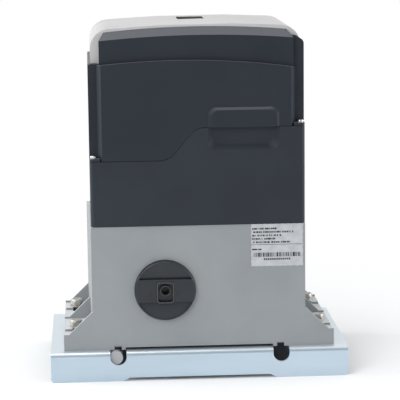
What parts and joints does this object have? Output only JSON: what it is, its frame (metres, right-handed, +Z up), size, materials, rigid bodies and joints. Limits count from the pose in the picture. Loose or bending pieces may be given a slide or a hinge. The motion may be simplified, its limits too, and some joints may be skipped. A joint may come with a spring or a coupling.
{
  "type": "sliding gate motor",
  "caption": "Sliding gate motor: worm gearbox in a grey casting, capacitor motor, output pinion, release knob and lift-off dark cover on a folded base plate.",
  "frame": {"origin": "on the ground, in the middle of the base plate's length and of the overall depth from its front flange to the output shaft's end", "axes": "+Z up; -Y towards the side with the release knob; +Y towards the gate, along the output shaft; +X to the right seen from the release knob's side"},
  "size_m": [0.33, 0.22, 0.3912],
  "materials": {
    "zinc_plate": "zinc plated, pale blue passivation",
    "cast_grey": "grey powder coat on die casting",
    "foot_steel": "zinc plated",
    "elbow_plastic": "plain grey",
    "gasket_fibre": "oil-proof sheet",
    "flange_aluminium": "as cast and machined",
    "screw_steel": "blackened",
    "bearing_steel": "ground",
    "seal_rubber": "nitrile",
    "wheel_bronze": "machined bronze",
    "worm_steel": "hardened and ground",
    "pinion_steel": "zinc plated",
    "clutch_steel": "machined",
    "spring_steel": "spring wire",
    "knob_plastic": "dark grey, fine texture",
    "socket_steel": "blackened",
    "pusher_brass": "machined",
    "housing_plastic": "dark grey, fine texture",
    "cover_plastic": "dark grey, fine texture",
    "cap_plastic": "light silver grey",
    "inset_plastic": "black",
    "cover_screw_chrome": "bright zinc",
    "lamination": "stacked sheets",
    "winding_copper": "enamelled copper, varnished",
    "capacitor_plastic": "white can",
    "clip_steel": "spring sheet",
    "carrier_plastic": "black",
    "board_green": "solder mask",
    "relay_plastic": "dark blue case",
    "terminal_plastic": "green",
    "transformer_body": "varnished",
    "fuse_glass": "clear tube",
    "sensor_plastic": "black"
  },
  "bodies": {
    "frame": {"base_plate": "zinc_plate", "gearbox_housing": "cast_grey", "foot_bolts": "foot_steel", "foot_flat_washers": "foot_steel", "foot_spring_washers": "foot_steel", "foot_nuts": "foot_steel", "cable_elbow": "elbow_plastic", "lid_gasket": "gasket_fibre", "motor_flange": "flange_aluminium", "lid_screws": "screw_steel", "worm_foot_bearing": "bearing_steel", "worm_head_bearing": "bearing_steel", "output_front_bearing": "bearing_steel", "output_rear_bearing": "bearing_steel", "output_oil_seal": "seal_rubber", "worm_oil_seal": "seal_rubber", "lower_housing": "housing_plastic", "stator_core": "lamination", "stator_windings": "winding_copper", "upper_bell": "flange_aluminium", "motor_tie_bolts": "screw_steel", "motor_top_bearing": "bearing_steel", "run_capacitor": "capacitor_plastic", "capacitor_clip": "clip_steel", "board_carrier": "carrier_plastic", "control_board": "board_green", "relays": "relay_plastic", "terminal_blocks": "terminal_plastic", "transformer": "transformer_body", "fuse_holder": "fuse_glass", "limit_sensor": "sensor_plastic"},
    "rotor": {"worm_shaft": "worm_steel", "rotor_core": "lamination"},
    "output": {"worm_wheel": "wheel_bronze", "output_shaft": "worm_steel", "output_pinion": "pinion_steel", "pinion_key": "clutch_steel", "pinion_clip": "spring_steel", "spring_seat": "clutch_steel", "clutch_spring": "spring_steel"},
    "clutch": {"clutch_dog": "clutch_steel", "push_rod": "clutch_steel", "clutch_pin": "clutch_steel"},
    "knob": {"release_knob": "knob_plastic", "release_spindle": "clutch_steel", "key_socket": "socket_steel", "knob_ring": "seal_rubber"},
    "pusher": {"release_pusher": "pusher_brass"},
    "cover": {"upper_cover": "cover_plastic", "top_cap": "cap_plastic", "cap_inset": "inset_plastic", "cover_screws": "cover_screw_chrome"}
  },
  "joints": [
    {"name": "rotor_spin", "type": "hinge", "parent": "frame", "child": "rotor", "pos_m": [0.0126, -0.012, 0.2], "axis": [0, 0, 1], "continuous": true},
    {"name": "output_spin", "type": "hinge", "parent": "frame", "child": "output", "pos_m": [-0.0374, -0.012, 0.1], "axis": [0, 1, 0], "continuous": true},
    {"name": "knob_turn", "type": "hinge", "parent": "frame", "child": "knob", "pos_m": [-0.0374, -0.1, 0.1], "axis": [0, 1, 0], "range_deg": [0, 90]},
    {"name": "pusher_slide", "type": "slide", "parent": "frame", "child": "pusher", "axis": [0, 1, 0], "range_m": [0, 0.006]},
    {"name": "clutch_slide", "type": "slide", "parent": "output", "child": "clutch", "axis": [0, 1, 0], "range_m": [0, 0.006], "deforming": ["clutch_spring"]},
    {"name": "cover_lift", "type": "slide", "parent": "frame", "child": "cover", "axis": [0, 0, 1], "range_m": [0, 0.2]}
  ],
  "couplings": [
    {"joint": "output_spin", "follows": "rotor_spin", "ratio": 0.033333},
    {"joint": "knob_turn", "follows": "clutch_slide", "rad_per_m": 261.8},
    {"joint": "pusher_slide", "follows": "clutch_slide", "ratio": 1}
  ]
}
